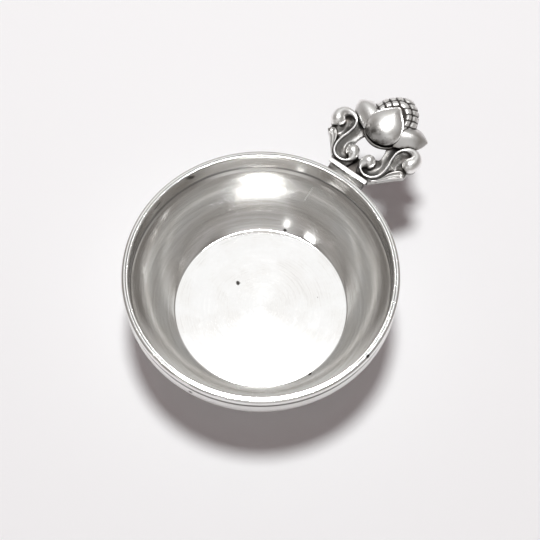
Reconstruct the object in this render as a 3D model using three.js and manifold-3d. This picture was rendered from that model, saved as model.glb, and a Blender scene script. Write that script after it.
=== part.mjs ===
// Silver salt cellar: a spun bowl with an applied rim wire and a pierced scroll-and-bud handle.
// Millimetres, +Z up. The origin is the centre of the flat base and the handle points along +X.
import * as THREE from 'three';
import { mergeVertices } from 'three/addons/utils/BufferGeometryUtils.js';
import Module from 'manifold-3d';

const wasm = await Module();
wasm.setup();

// Bowl and rim
const RIM_RADIUS = 25;
const RIM_TOP = 17;
const WALL = 0.9;
const FLOOR_RADIUS = 16.6;
const COLLAR_RADIUS = 23.8;
const COLLAR_DEPTH = 4.05;
const WALL_START = 12.4;
const LIP_THICKNESS = 0.4;
const RIM_WIRE_HEIGHT = 1.7;
const RIM_WIDEST = 0.45;
const ROUND_STEPS = 56;
const WALL_STEPS = 7;
const RIM_FACE_STEPS = 6;

// Solder gap kept between pieces that were fitted and soldered together
const SOLDER_GAP = 0.06;

// Bracket that carries the handle on the rim
const SHOE_HALF_LENGTH = 3.8;
const SHOE_HEIGHT = 1.8;
const SHOE_WAIST = 0.35;
const SHOE_CHAMFER = 0.5;
const SHOE_CURVE_STEPS = 10;
const CAP_HALF_LENGTH = 4.15;
const CAP_INNER = 25.5;
const CAP_OUTER = 26.4;
const CAP_THICKNESS = 0.55;
const CAP_EDGE_ROUND = 0.12;
const CAP_EDGE_STEPS = 2;

// Scrolls, with heights measured from the rim's top
const SCROLL_BACK = -1.3;
const SCROLL_EDGE = -0.5;
const SCROLL_CREST = 0.5;
const FLANK_WIDTH = 1.7;
const RELIEF_STEP = 0.6;
const RELIEF_MARGIN = 1;
const OUTER_BALL = { radius: 1.45, tail: 6 };
const INNER_BALL = { radius: 1.35, tail: 2.8 };
const BALL_LEVEL = 0.35;
const RIDGE_RADIUS = 0.2;
const RIDGE_LEVEL = 0.6;
const WIRE_STEPS = 46;
const WIRE_SIDES = 8;
const FOOT_PLANE = CAP_OUTER + SOLDER_GAP;
const FOOT_BLOCK = 10;
const RIDGE_SAMPLES = 160;
const RIDGE_LEAVES_BALL = 1;
const RIDGE_FULLY_UP = 5;
const RIDGE_LINE = [
  [32.9, 7.5], [33.9, 8.25], [35.0, 8.7], [36.0, 8.45], [36.65, 7.6], [36.65, 6.5],
  [35.9, 5.4], [34.6, 4.9], [33.0, 4.95], [31.2, 5.3], [29.4, 5.3], [28.0, 4.75],
  [27.2, 3.7], [27.2, 2.4], [28.0, 1.35], [29.2, 1.25], [30.1, 1.92], [31.0, 2.75],
];
const SCROLL_OUTLINE_STEPS = 87;
const SCROLL_OUTLINE = [
  [25.9, 1.9], [25.8, 3.5], [26.7, 4.3], [27.7, 5.2], [28.7, 6.1], [29.7, 6.95], [30.7, 7.95],
  [31.4, 8.7], [32.1, 8.85], [32.65, 8.75], [33.2, 9.3], [34.2, 9.6], [35.4, 9.35],
  [36.5, 8.75], [37.15, 7.6], [37.05, 6.3], [36.9, 5.2], [37.1, 4.2], [37.2, 3.0],
  [36.0, 2.4], [34.9, 2.5], [33.9, 2.8], [32.8, 2.95], [31.8, 2.9], [31.3, 2.3],
  [31.1, 1.3], [30.3, 0.6], [29.2, 0.45], [28.0, 0.65], [26.9, 1.1],
];

// Leaf on the outer flank of each scroll
const LEAF_TOP = 0.15;
const LEAF_OUTLINE_STEPS = 44;
const LEAF_OUTLINE = [
  [26.95, 4.45], [27.8, 5.35], [28.75, 6.2], [29.75, 7.05], [30.7, 8.05], [31.35, 8.75], [31.95, 8.55],
  [32.3, 7.95], [32.1, 7.3], [31.4, 6.65], [30.4, 6.1], [29.2, 5.75], [28.0, 5.2], [27.25, 4.5],
];
const LEAF_HOLLOW_LINE = [[28.0, 5.35], [29.0, 6.05], [30.0, 6.6], [30.8, 7.2], [31.6, 8.1]];
const LEAF_HOLLOW_START = 0.12;
const LEAF_HOLLOW_END = 0.75;
const LEAF_HOLLOW_RISE = 0.1;
const LEAF_HOLLOW_STEPS = 12;
const LEAF_HOLLOW_SIDES = 10;

// Web between the two scrolls, at the root of the handle
const WEB_HALF_WIDTH = 3.2;
const WEB_NOSE = 30.1;
const WEB_TOP = -0.7;

// Bud: an ovoid core, four sepals and a seeded head
const BUD_CENTRE = 39;
const BUD_LEVEL = 0.1;
const BUD_LENGTH = 4.8;
const BUD_WIDTH = 4.3;
const BUD_HEIGHT = 2.8;
const BUD_COLUMNS = 24;
const BUD_ROWS = 14;
const SEPAL_THICKNESS = 0.65;
const SEPAL_LIFT = 0.2;
const UNDER_SEPAL_GROWTH = 0.35;
const SEPAL_OUTLINE_STEPS = 48;
const SEPAL_OUTLINE = [
  [34.25, 0], [34.65, -1.85], [35.4, -2.8], [36.3, -3.4], [37.4, -3.6], [38.6, -3.35],
  [39.8, -2.65], [41.1, -1.3], [42.25, 0], [41.1, 1.3], [39.8, 2.65], [38.6, 3.35],
  [37.4, 3.6], [36.3, 3.4], [35.4, 2.8], [34.65, 1.85],
];
const SIDE_SEPAL_ROOT = [38.0, 1.9, 0.2];
const SIDE_SEPAL_TIP = [40.65, 8.05, -0.1];
const SIDE_SEPAL_HALF_WIDTH = 2.8;
const SIDE_SEPAL_HALF_HEIGHT = 1.75;
const SIDE_SEPAL_TAPER = 5;
const SIDE_SEPAL_DROOP = 4;
const SIDE_SEPAL_KEEL = 1.4;
const SIDE_SEPAL_BUTT = 0.02;
const SIDE_SEPAL_STATIONS = 10;
const SIDE_SEPAL_SIDES = 14;
const SEED_CENTRE = 39.6;
const SEED_LEVEL = 0.4;
const SEED_LENGTH = 6.25;
const SEED_BACK_LENGTH = 3.2;
const SEED_WIDTH = 4.65;
const SEED_HEIGHT = 1.75;
const SEED_POINT = 0.3;
const SEED_POINT_SPREAD = 0.35;
const SEEDS_ROUND = 18;
const SEED_RELIEF = 0.22;
const SEED_GROOVE = 0.15;
const SEED_ROW_EDGES = [-58, -42, -2, 42, 58];
const SEED_SEAT_COLUMNS = 32;
const SEED_SEAT_ROWS = 11;

// Finishes
const SILVER = { color: 0xd9d6d0, roughness: 0.22, metalness: 1 };
const OXIDISED_SILVER = { color: 0x8f8b86, roughness: 0.38, metalness: 1 };

// Closed mesh helpers

const MERGE_DISTANCE = 1e-4;

function enclosedVolume(position, index) {
  const a = new THREE.Vector3();
  const b = new THREE.Vector3();
  const c = new THREE.Vector3();
  let volume = 0;
  for (let i = 0; i < index.length; i += 3) {
    a.fromBufferAttribute(position, index[i]);
    b.fromBufferAttribute(position, index[i + 1]);
    c.fromBufferAttribute(position, index[i + 2]);
    volume += a.dot(b.cross(c)) / 6;
  }
  return volume;
}

// Merges shared vertices, drops collapsed triangles and turns the faces outwards
function closed(geometry) {
  const bare = new THREE.BufferGeometry();
  bare.setAttribute('position', geometry.getAttribute('position'));
  if (geometry.index) {
    bare.setIndex(geometry.index);
  }
  const merged = mergeVertices(bare, MERGE_DISTANCE);
  const kept = [];
  const old = merged.index.array;
  for (let i = 0; i < old.length; i += 3) {
    const [a, b, c] = [old[i], old[i + 1], old[i + 2]];
    if (a !== b && b !== c && c !== a) {
      kept.push(a, b, c);
    }
  }
  if (enclosedVolume(merged.getAttribute('position'), kept) < 0) {
    kept.reverse();
  }
  merged.setIndex(kept);
  return merged;
}

function solid(geometry) {
  const shape = closed(geometry);
  const vertProperties = new Float32Array(shape.getAttribute('position').array);
  const triVerts = new Uint32Array(shape.index.array);
  return new wasm.Manifold(new wasm.Mesh({ numProp: 3, vertProperties, triVerts }));
}

function geometryOf(body) {
  const mesh = body.getMesh();
  const geometry = new THREE.BufferGeometry();
  geometry.setAttribute('position', new THREE.BufferAttribute(mesh.vertProperties, 3));
  geometry.setIndex(new THREE.BufferAttribute(mesh.triVerts, 1));
  return geometry;
}

function piece(name, geometry, finish) {
  const shape = closed(geometry);
  shape.computeVertexNormals();
  const mesh = new THREE.Mesh(shape, new THREE.MeshStandardMaterial(finish));
  mesh.name = name;
  return mesh;
}

function mirrored(geometry) {
  return geometry.clone().scale(1, -1, 1);
}

// The same form below the bud's middle plane
function underside(geometry) {
  return geometry.clone().translate(0, 0, -BUD_LEVEL).scale(1, 1, -1).translate(0, 0, BUD_LEVEL);
}

// Shape helpers

function arc(centreX, centreY, radius, from, to, steps) {
  const points = [];
  for (let i = 0; i <= steps; i++) {
    const angle = THREE.MathUtils.degToRad(THREE.MathUtils.lerp(from, to, i / steps));
    points.push(new THREE.Vector2(centreX + radius * Math.cos(angle), centreY + radius * Math.sin(angle)));
  }
  return points;
}

// Turns a profile of (radius, height) points about the Z axis
function turned(profile) {
  return new THREE.LatheGeometry(profile, ROUND_STEPS).rotateX(Math.PI / 2);
}

// A smooth closed outline through the points, grown outwards by a margin
function outline(points, margin, steps) {
  const line = points.map(([x, y]) => new THREE.Vector3(x, y, 0));
  const curve = new THREE.CatmullRomCurve3(line, true, 'centripetal');
  const samples = curve.getPoints(steps).slice(0, steps);
  const turn = Math.sign(THREE.ShapeUtils.area(samples));
  const grown = samples.map((point, i) => {
    const before = samples[(i + steps - 1) % steps];
    const after = samples[(i + 1) % steps];
    const along = new THREE.Vector2(after.x - before.x, after.y - before.y).normalize();
    return new THREE.Vector2(point.x + along.y * margin * turn, point.y - along.x * margin * turn);
  });
  return new THREE.Shape(grown);
}

function prism(shape, bottom, top) {
  const options = { depth: top - bottom, bevelEnabled: false };
  return new THREE.ExtrudeGeometry(shape, options).translate(0, 0, bottom);
}

// A closed skin over rings of points, brought to one point at each end
function loft(start, rings, end) {
  const count = rings[0].length;
  const positions = [start, ...rings.flat(), end].flatMap((point) => point.toArray());
  const last = rings.length * count + 1;
  const index = [];
  for (let j = 0; j < count; j++) {
    const next = (j + 1) % count;
    index.push(0, 1 + next, 1 + j);
    for (let i = 0; i < rings.length - 1; i++) {
      const near = 1 + i * count;
      const far = near + count;
      index.push(near + j, near + next, far + next, near + j, far + next, far + j);
    }
    const final = last - count;
    index.push(last, final + j, final + next);
  }
  const geometry = new THREE.BufferGeometry();
  geometry.setAttribute('position', new THREE.Float32BufferAttribute(positions, 3));
  geometry.setIndex(index);
  return geometry;
}

// A round section of changing radius carried along a curve
function taperedWire(curve, radiusAt, steps, sides) {
  const length = curve.getLength();
  const rings = [];
  for (let i = 1; i < steps; i++) {
    const share = i / steps;
    const centre = curve.getPointAt(share);
    const ahead = curve.getTangentAt(share);
    const across = new THREE.Vector3(-ahead.y, ahead.x, 0).normalize();
    const up = new THREE.Vector3().crossVectors(ahead, across);
    const radius = radiusAt(share * length, length);
    const ring = [];
    for (let j = 0; j < sides; j++) {
      const angle = (2 * Math.PI * j) / sides;
      ring.push(centre.clone().addScaledVector(across, radius * Math.cos(angle))
        .addScaledVector(up, radius * Math.sin(angle)));
    }
    rings.push(ring);
  }
  return loft(curve.getPointAt(0), rings, curve.getPointAt(1));
}

// Bowl and rim

// The wall is one arc, which leaves the collar's foot at a slight angle and ends at the floor
const { degToRad, radToDeg } = THREE.MathUtils;
const collarFoot = RIM_TOP - COLLAR_DEPTH;
const wallInset = COLLAR_RADIUS - FLOOR_RADIUS;
const wallDrop = collarFoot - WALL;
const wallLean = radToDeg(Math.atan2(wallInset, wallDrop));
const wallEnd = 2 * wallLean - WALL_START;
const wallRadius = Math.hypot(wallInset, wallDrop) / (2 * Math.sin(degToRad(wallLean - WALL_START)));
const wallCentreX = COLLAR_RADIUS - wallRadius * Math.cos(degToRad(WALL_START));
const wallCentreZ = collarFoot + wallRadius * Math.sin(degToRad(WALL_START));
const outerEnd = radToDeg(Math.asin(wallCentreZ / (wallRadius + WALL)));
const lipRadius = COLLAR_RADIUS + LIP_THICKNESS;
const wireSeatZ = RIM_TOP - RIM_WIRE_HEIGHT;

function bowl() {
  const outerWall = arc(wallCentreX, wallCentreZ, wallRadius + WALL, -outerEnd, -WALL_START, WALL_STEPS);
  const innerWall = arc(wallCentreX, wallCentreZ, wallRadius, -WALL_START, -wallEnd, WALL_STEPS);
  const rabbet = [
    new THREE.Vector2(COLLAR_RADIUS + WALL, wireSeatZ - SOLDER_GAP),
    new THREE.Vector2(lipRadius, wireSeatZ - SOLDER_GAP),
    new THREE.Vector2(lipRadius, RIM_TOP),
    new THREE.Vector2(COLLAR_RADIUS, RIM_TOP),
  ];
  const floorCentre = new THREE.Vector2(0, WALL);
  return turned([new THREE.Vector2(0, 0), ...outerWall, ...rabbet, ...innerWall, floorCentre]);
}

// Half-round wire, flat where it seats in the bowl's rabbet
function rimWire() {
  const inner = lipRadius + SOLDER_GAP;
  const below = RIM_WIRE_HEIGHT * RIM_WIDEST;
  const above = RIM_WIRE_HEIGHT - below;
  const bulge = RIM_RADIUS - inner;
  const from = -Math.asin(below / above);
  const face = new THREE.EllipseCurve(inner, wireSeatZ + below, bulge, above, from, Math.PI / 2);
  const foot = new THREE.Vector2(inner, wireSeatZ);
  return turned([foot, ...face.getPoints(RIM_FACE_STEPS), foot]);
}

// Bracket

// Block filed to the rim's curve, waisted below the cap and chamfered down to the rim
function bracketShoe() {
  const seat = RIM_RADIUS + SOLDER_GAP;
  const reach = Math.asin(SHOE_HALF_LENGTH / seat);
  const plan = new THREE.Shape();
  plan.moveTo(CAP_OUTER, -SHOE_HALF_LENGTH);
  plan.quadraticCurveTo(CAP_OUTER - SHOE_WAIST, 0, CAP_OUTER, SHOE_HALF_LENGTH);
  plan.lineTo(seat * Math.cos(reach), SHOE_HALF_LENGTH);
  plan.absarc(0, 0, seat, reach, -reach, true);
  const options = { depth: SHOE_HEIGHT, bevelEnabled: false, curveSegments: SHOE_CURVE_STEPS };
  const block = new THREE.ExtrudeGeometry(plan, options).translate(0, 0, -SHOE_HEIGHT);
  const size = SHOE_CHAMFER * Math.SQRT2;
  const chamfer = new THREE.BoxGeometry(size, 4 * SHOE_HALF_LENGTH, size).rotateY(Math.PI / 4)
    .translate(CAP_INNER - SHOE_CHAMFER, 0, 0);
  return cut(solid(block), solid(chamfer));
}

function bracketCap() {
  const half = CAP_HALF_LENGTH - CAP_EDGE_ROUND;
  const plan = new THREE.Shape([
    new THREE.Vector2(CAP_INNER + CAP_EDGE_ROUND, -half),
    new THREE.Vector2(CAP_OUTER - CAP_EDGE_ROUND, -half),
    new THREE.Vector2(CAP_OUTER - CAP_EDGE_ROUND, half),
    new THREE.Vector2(CAP_INNER + CAP_EDGE_ROUND, half),
  ]);
  const options = {
    depth: CAP_THICKNESS - 2 * CAP_EDGE_ROUND,
    bevelSize: CAP_EDGE_ROUND,
    bevelThickness: CAP_EDGE_ROUND,
    bevelSegments: CAP_EDGE_STEPS,
  };
  return new THREE.ExtrudeGeometry(plan, options).translate(0, 0, SOLDER_GAP + CAP_EDGE_ROUND);
}

// Scrolls

// Centre line of the scroll wire, which climbs from the balls to the ridge
const ridgeCurve = new THREE.CatmullRomCurve3(
  RIDGE_LINE.map(([x, y], i) => {
    const fromEnd = Math.min(i, RIDGE_LINE.length - 1 - i);
    const rise = THREE.MathUtils.smoothstep(fromEnd, RIDGE_LEAVES_BALL, RIDGE_FULLY_UP);
    return new THREE.Vector3(x, y, THREE.MathUtils.lerp(BALL_LEVEL, RIDGE_LEVEL, rise));
  }),
);
const ridgeSamples = ridgeCurve.getSpacedPoints(RIDGE_SAMPLES);

// Half thickness of the scroll wire: a comma at each end, whose ball runs out into a fine ridge
function wireRadius(along, length) {
  const ball = along < length / 2 ? OUTER_BALL : INNER_BALL;
  const past = Math.min(along, length - along) - ball.radius;
  if (past < 0) {
    return Math.sqrt(ball.radius ** 2 - past ** 2);
  }
  return THREE.MathUtils.lerp(ball.radius, RIDGE_RADIUS, THREE.MathUtils.smoothstep(past, 0, ball.tail));
}

function scrollWire(margin) {
  const radiusAt = (along, length) => wireRadius(along, length) + margin;
  return taperedWire(ridgeCurve, radiusAt, WIRE_STEPS, WIRE_SIDES);
}

// Height of the hollowed flank, which falls away in a curve from the ridge to the edge
function flankHeight(x, y) {
  const near = Math.min(...ridgeSamples.map((point) => Math.hypot(point.x - x, point.y - y)));
  const share = Math.max(0, 1 - near / FLANK_WIDTH);
  return THREE.MathUtils.lerp(SCROLL_EDGE, SCROLL_CREST, share ** 2);
}

// Block whose upper face carries the relief of one scroll
function reliefBlock(lift) {
  const box = new THREE.Box2().setFromPoints(SCROLL_OUTLINE.map(([x, y]) => new THREE.Vector2(x, y)));
  const size = box.expandByScalar(RELIEF_MARGIN).getSize(new THREE.Vector2());
  const middle = box.getCenter(new THREE.Vector2());
  const columns = Math.round(size.x / RELIEF_STEP);
  const rows = Math.round(size.y / RELIEF_STEP);
  const block = new THREE.BoxGeometry(size.x, size.y, 1, columns, rows, 1).translate(middle.x, middle.y, 0);
  const position = block.getAttribute('position');
  for (let i = 0; i < position.count; i++) {
    const top = flankHeight(position.getX(i), position.getY(i)) + lift;
    position.setZ(i, position.getZ(i) > 0 ? top : SCROLL_BACK);
  }
  return block;
}

// Seats that neighbouring pieces are cut to

const tallest = 2 * BUD_HEIGHT;
const scrollEnvelope = solid(scrollPrism(SOLDER_GAP));
const wireSeat = solid(scrollWire(SOLDER_GAP));
const budCoreSeat = solid(budOvoid(SOLDER_GAP - SEPAL_THICKNESS));
const seedSeat = solid(seedBody(SOLDER_GAP + SEED_RELIEF));
const sepalSeat = sepalBlank(0, SOLDER_GAP);
const lowerSepalSeat = solid(underside(geometryOf(sepalBlank(UNDER_SEPAL_GROWTH, SOLDER_GAP))));

// Space inside the outline of a scroll
function scrollPrism(margin) {
  return prism(outline(SCROLL_OUTLINE, margin, SCROLL_OUTLINE_STEPS), -tallest, tallest);
}

// One piece less each of the others
function cut(body, ...others) {
  return geometryOf(others.reduce((rest, other) => rest.subtract(other), body));
}

// Pierced and hollowed plate that carries one scroll
function scrollPlate() {
  const beyondFoot = new THREE.BoxGeometry(FOOT_BLOCK, FOOT_BLOCK * 2, FOOT_BLOCK)
    .translate(FOOT_PLANE - FOOT_BLOCK / 2, 0, 0);
  const blank = solid(reliefBlock(0)).intersect(solid(scrollPrism(0)));
  return cut(blank, solid(beyondFoot), wireSeat, budCoreSeat, sepalSeat, lowerSepalSeat);
}

// Small leaf with a spoon-shaped hollow that widens to its tip
function leaf() {
  const plan = prism(outline(LEAF_OUTLINE, 0, LEAF_OUTLINE_STEPS), SCROLL_EDGE, LEAF_TOP);
  const line = LEAF_HOLLOW_LINE.map(([x, y]) => new THREE.Vector3(x, y, LEAF_TOP + LEAF_HOLLOW_RISE));
  const widen = (along, length) => THREE.MathUtils.lerp(LEAF_HOLLOW_START, LEAF_HOLLOW_END, along / length);
  const hollow = taperedWire(new THREE.CatmullRomCurve3(line), widen, LEAF_HOLLOW_STEPS, LEAF_HOLLOW_SIDES);
  return cut(solid(plan), solid(reliefBlock(SOLDER_GAP)), wireSeat, solid(hollow));
}

// Thin web that ties the two scrolls together behind the bracket
function rootWeb() {
  const plan = new THREE.Shape();
  plan.moveTo(FOOT_PLANE, -WEB_HALF_WIDTH);
  plan.lineTo(WEB_NOSE, -WEB_HALF_WIDTH);
  plan.lineTo(WEB_NOSE, WEB_HALF_WIDTH);
  plan.lineTo(FOOT_PLANE, WEB_HALF_WIDTH);
  const otherEnvelope = solid(mirrored(geometryOf(scrollEnvelope)));
  return cut(solid(prism(plan, SCROLL_BACK, WEB_TOP)), scrollEnvelope, otherEnvelope);
}

// Bud

function budOvoid(margin) {
  return new THREE.SphereGeometry(1, BUD_COLUMNS, BUD_ROWS).rotateX(Math.PI / 2)
    .scale(BUD_LENGTH + margin, BUD_WIDTH + margin, BUD_HEIGHT + margin)
    .translate(BUD_CENTRE, 0, BUD_LEVEL);
}

// The bud's surface inside the outline of a sepal, grown all round, with a margin on every side
function sepalBlank(growth, margin) {
  const plan = outline(SEPAL_OUTLINE, growth + margin, SEPAL_OUTLINE_STEPS);
  const space = solid(prism(plan, BUD_LEVEL + SEPAL_LIFT - margin, tallest));
  return solid(budOvoid(growth + margin)).intersect(space);
}

// Plan radius of the seeded head, drawn out to a soft point at the handle's end
function seedPlan(angle) {
  const wrapped = Math.atan2(Math.sin(angle), Math.cos(angle));
  const point = SEED_POINT * Math.exp(-((wrapped / SEED_POINT_SPREAD) ** 2));
  const length = Math.cos(angle) > 0 ? SEED_LENGTH + point : SEED_BACK_LENGTH;
  return { length, width: SEED_WIDTH };
}

// Point of the seeded head at a bearing and a height angle, raised from its smooth body
function seedPoint(bearing, height, raise) {
  const plan = seedPlan(bearing);
  const level = Math.cos(height);
  return new THREE.Vector3(
    SEED_CENTRE + (plan.length + raise) * level * Math.cos(bearing),
    (plan.width + raise) * level * Math.sin(bearing),
    SEED_LEVEL + (SEED_HEIGHT + raise) * Math.sin(height),
  );
}

function seedSkin(bearings, heights, raiseAt) {
  const pointAt = (bearing, height) => seedPoint(bearing, height, raiseAt(bearing, height));
  const rings = heights.map((height) => bearings.map((bearing) => pointAt(bearing, height)));
  const pole = SEED_HEIGHT + raiseAt(0, Math.PI / 2);
  return loft(new THREE.Vector3(SEED_CENTRE, 0, SEED_LEVEL - pole), rings,
    new THREE.Vector3(SEED_CENTRE, 0, SEED_LEVEL + pole));
}

// Smooth body of the seeded head, raised all over by a margin
function seedBody(raise) {
  const turn = (2 * Math.PI) / SEED_SEAT_COLUMNS;
  const climb = Math.PI / (SEED_SEAT_ROWS + 1);
  const bearings = Array.from({ length: SEED_SEAT_COLUMNS }, (_, i) => i * turn);
  const heights = Array.from({ length: SEED_SEAT_ROWS }, (_, i) => (i + 1) * climb - Math.PI / 2);
  return seedSkin(bearings, heights, () => raise);
}

// Rows of raised square seeds, parted by narrow grooves
function seedHead() {
  const groove = SEED_GROOVE / 2;
  const edges = SEED_ROW_EDGES.map(THREE.MathUtils.degToRad);
  const seedEdges = Array.from({ length: SEEDS_ROUND + 1 }, (_, i) => (i / SEEDS_ROUND) * 2 * Math.PI);
  const padLines = (lines) => lines.slice(1).flatMap((line, i) => {
    const width = line - lines[i];
    return [lines[i], lines[i] + width * groove, line - width * groove];
  });
  const bearings = padLines(seedEdges);
  const heights = [...padLines(edges), edges[edges.length - 1]];
  const inGroove = new Set([...seedEdges, ...edges]);
  const raiseAt = (bearing, height) => {
    const sunk = inGroove.has(bearing) || inGroove.has(height) || height === Math.PI / 2;
    return sunk ? 0 : SEED_RELIEF;
  };
  return seedSkin(bearings, heights, raiseAt);
}

function budCore() {
  return cut(solid(budOvoid(-SEPAL_THICKNESS)), seedSeat);
}

// Domed sepal that seats on the core and over the seeded head
function sepal(growth) {
  return cut(sepalBlank(growth, 0), budCoreSeat, seedSeat);
}

// Pointed side sepal with a soft keel along its back
function sideSepal() {
  const root = new THREE.Vector3(...SIDE_SEPAL_ROOT);
  const tip = new THREE.Vector3(...SIDE_SEPAL_TIP);
  const ahead = tip.clone().sub(root);
  const across = new THREE.Vector3(ahead.y, -ahead.x, 0).normalize();
  const rings = [];
  for (let i = 0; i < SIDE_SEPAL_STATIONS; i++) {
    const share = i / SIDE_SEPAL_STATIONS;
    const width = SIDE_SEPAL_HALF_WIDTH * (1 - share ** SIDE_SEPAL_TAPER);
    const height = SIDE_SEPAL_HALF_HEIGHT * (1 - share ** SIDE_SEPAL_DROOP);
    const ring = [];
    for (let j = 0; j < SIDE_SEPAL_SIDES; j++) {
      const angle = (2 * Math.PI * j) / SIDE_SEPAL_SIDES;
      const side = Math.cos(angle);
      const lift = Math.sign(Math.sin(angle)) * (1 - Math.abs(side) ** SIDE_SEPAL_KEEL);
      ring.push(root.clone().addScaledVector(ahead, share).addScaledVector(across, width * side)
        .add(new THREE.Vector3(0, 0, height * lift)));
    }
    rings.push(ring);
  }
  const petal = solid(loft(root.clone().addScaledVector(ahead, -SIDE_SEPAL_BUTT), rings, tip));
  return cut(petal, budCoreSeat, seedSeat, sepalSeat, lowerSepalSeat, scrollEnvelope, wireSeat);
}

// Assembly

const handle = new THREE.Group();
handle.position.z = RIM_TOP;
handle.add(piece('bracket_shoe', bracketShoe(), SILVER));
handle.add(piece('bracket_cap', bracketCap(), SILVER));
handle.add(piece('root_web', rootWeb(), OXIDISED_SILVER));
const pairs = [
  ['scroll_plate', scrollPlate(), OXIDISED_SILVER],
  ['scroll_wire', scrollWire(0), SILVER],
  ['scroll_leaf', leaf(), SILVER],
  ['side_sepal', sideSepal(), SILVER],
];
for (const [name, geometry, finish] of pairs) {
  handle.add(piece(`left_${name}`, geometry, finish));
  handle.add(piece(`right_${name}`, mirrored(geometry), finish));
}
handle.add(piece('bud_core', budCore(), OXIDISED_SILVER));
handle.add(piece('top_sepal', sepal(0), SILVER));
handle.add(piece('under_sepal', underside(sepal(UNDER_SEPAL_GROWTH)), SILVER));
handle.add(piece('seed_head', seedHead(), SILVER));

const saltCellar = new THREE.Group();
saltCellar.add(piece('bowl', bowl(), SILVER));
saltCellar.add(piece('rim_wire', rimWire(), SILVER));
saltCellar.add(handle);

export default saltCellar;
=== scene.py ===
import math

import bmesh
import bpy
import numpy as np
from mathutils import Matrix, Vector
from mathutils.bvhtree import BVHTree
from mathutils.geometry import interpolate_bezier
from mathutils.kdtree import KDTree


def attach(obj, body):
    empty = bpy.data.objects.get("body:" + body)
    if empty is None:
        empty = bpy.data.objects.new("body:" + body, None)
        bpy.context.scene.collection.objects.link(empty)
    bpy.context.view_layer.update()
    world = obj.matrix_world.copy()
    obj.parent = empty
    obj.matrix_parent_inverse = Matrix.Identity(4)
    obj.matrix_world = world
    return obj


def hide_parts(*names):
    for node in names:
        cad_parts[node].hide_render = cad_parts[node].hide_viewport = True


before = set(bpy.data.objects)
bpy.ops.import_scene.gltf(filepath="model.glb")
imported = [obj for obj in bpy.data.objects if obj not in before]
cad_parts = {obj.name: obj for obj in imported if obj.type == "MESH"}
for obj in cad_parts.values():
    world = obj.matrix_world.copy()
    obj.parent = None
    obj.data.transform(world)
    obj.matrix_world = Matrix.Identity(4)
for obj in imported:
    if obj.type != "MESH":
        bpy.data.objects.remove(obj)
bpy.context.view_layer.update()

MM = 0.001

# Bowl and rim
RIM_RADIUS = 25.0
RIM_TOP = 17.0
WALL = 0.9
FLOOR_RADIUS = 16.6
COLLAR_RADIUS = 23.8
COLLAR_DEPTH = 4.05
COLLAR_STEP = 0.16
FLOOR_FILLET = 0.6
OUTSIDE_SWELL = 0.32
OUTSIDE_SWELL_SPAN = (2.0, 9.0)
COLLAR_SWELL = 0.2
WALL_START = 12.4
LIP_THICKNESS = 0.4
LIP_BEAD = ((0.0, 0.38), (0.06, 0.55), (0.0, 0.75))
RIM_WIRE_HEIGHT = 1.7
RIM_WIDEST = 0.45
RIM_SQUARENESS = 3.4
SEAM = 0.06
EDGE_ROUND = 0.1
COLLAR_OUT_RISE = 0.9
BASE_EDGE_INSETS = (0.4, 0.1)
STEP_CURVE = ((0.0, 1.3), (0.25, 1.0), (0.85, 0.7), (1.0, 0.3))
ROUND_STEPS = 240
CORNER_ANGLE = math.radians(30)
SMOOTH_ANGLE = math.radians(35)
MERGE_DISTANCE = 1e-5

# Bracket that carries the handle on the rim
SHOE_HALF_LENGTH = 3.8
SHOE_HEIGHT = 1.8
SHOE_WAIST = 0.35
SHOE_CHAMFER = 0.5
CAP_HALF_LENGTH = 4.15
CAP_INNER = 25.5
CAP_OUTER = 26.4
CAP_THICKNESS = 0.55
CAP_EDGE_ROUND = 0.12
SMALL_EDGE_ROUND = 0.08

# Scrolls, with heights measured from the rim's top
SCROLL_BACK = -1.3
SCROLL_EDGE = -0.5
SCROLL_CREST = 0.5
FLANK_WIDTH = 1.7
OUTER_BALL = (1.45, 6.0)
INNER_BALL = (1.35, 2.8)
BALL_LEVEL = 0.35
RIDGE_RADIUS = 0.2
RIDGE_LEVEL = 0.6
RIDGE_LEAVES_BALL = 1
RIDGE_FULLY_UP = 5
WIRE_TIP_RADIUS = 0.02
PLATE_SOFTENING = 5
FOOT_PLANE = CAP_OUTER + SEAM
RIDGE_LINE = [
    (32.9, 7.5), (33.9, 8.25), (35.0, 8.7), (36.0, 8.45), (36.65, 7.6), (36.65, 6.5),
    (35.9, 5.4), (34.6, 4.9), (33.0, 4.95), (31.2, 5.3), (29.4, 5.3), (28.0, 4.75),
    (27.2, 3.7), (27.2, 2.4), (28.0, 1.35), (29.2, 1.25), (30.1, 1.92), (31.0, 2.75),
]
SCROLL_OUTLINE = [
    (25.9, 1.9), (25.8, 3.5), (26.7, 4.3), (27.7, 5.2), (28.7, 6.1), (29.7, 6.95),
    (30.7, 7.95), (31.4, 8.7), (32.1, 8.85), (32.65, 8.75), (33.2, 9.3), (34.2, 9.6),
    (35.4, 9.35), (36.5, 8.75), (37.15, 7.6), (37.05, 6.3), (36.9, 5.2), (37.1, 4.2),
    (37.2, 3.0), (36.0, 2.4), (34.9, 2.5), (33.9, 2.8), (32.8, 2.95), (31.8, 2.9),
    (31.3, 2.3), (31.1, 1.3), (30.3, 0.6), (29.2, 0.45), (28.0, 0.65), (26.9, 1.1),
]

# Leaf on the outer flank of each scroll
LEAF_TOP = 0.15
LEAF_OUTLINE = [
    (26.95, 4.45), (27.8, 5.35), (28.75, 6.2), (29.75, 7.05), (30.7, 8.05), (31.35, 8.75),
    (31.95, 8.55), (32.3, 7.95), (32.1, 7.3), (31.4, 6.65), (30.4, 6.1), (29.2, 5.75),
    (28.0, 5.2), (27.25, 4.5),
]
LEAF_HOLLOW_LINE = [(28.0, 5.35), (29.0, 6.05), (30.0, 6.6), (30.8, 7.2), (31.6, 8.1)]
LEAF_HOLLOW_START = 0.12
LEAF_HOLLOW_END = 0.65
LEAF_HOLLOW_DEPTH = 0.75
LEAF_STATIONS = 40

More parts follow.
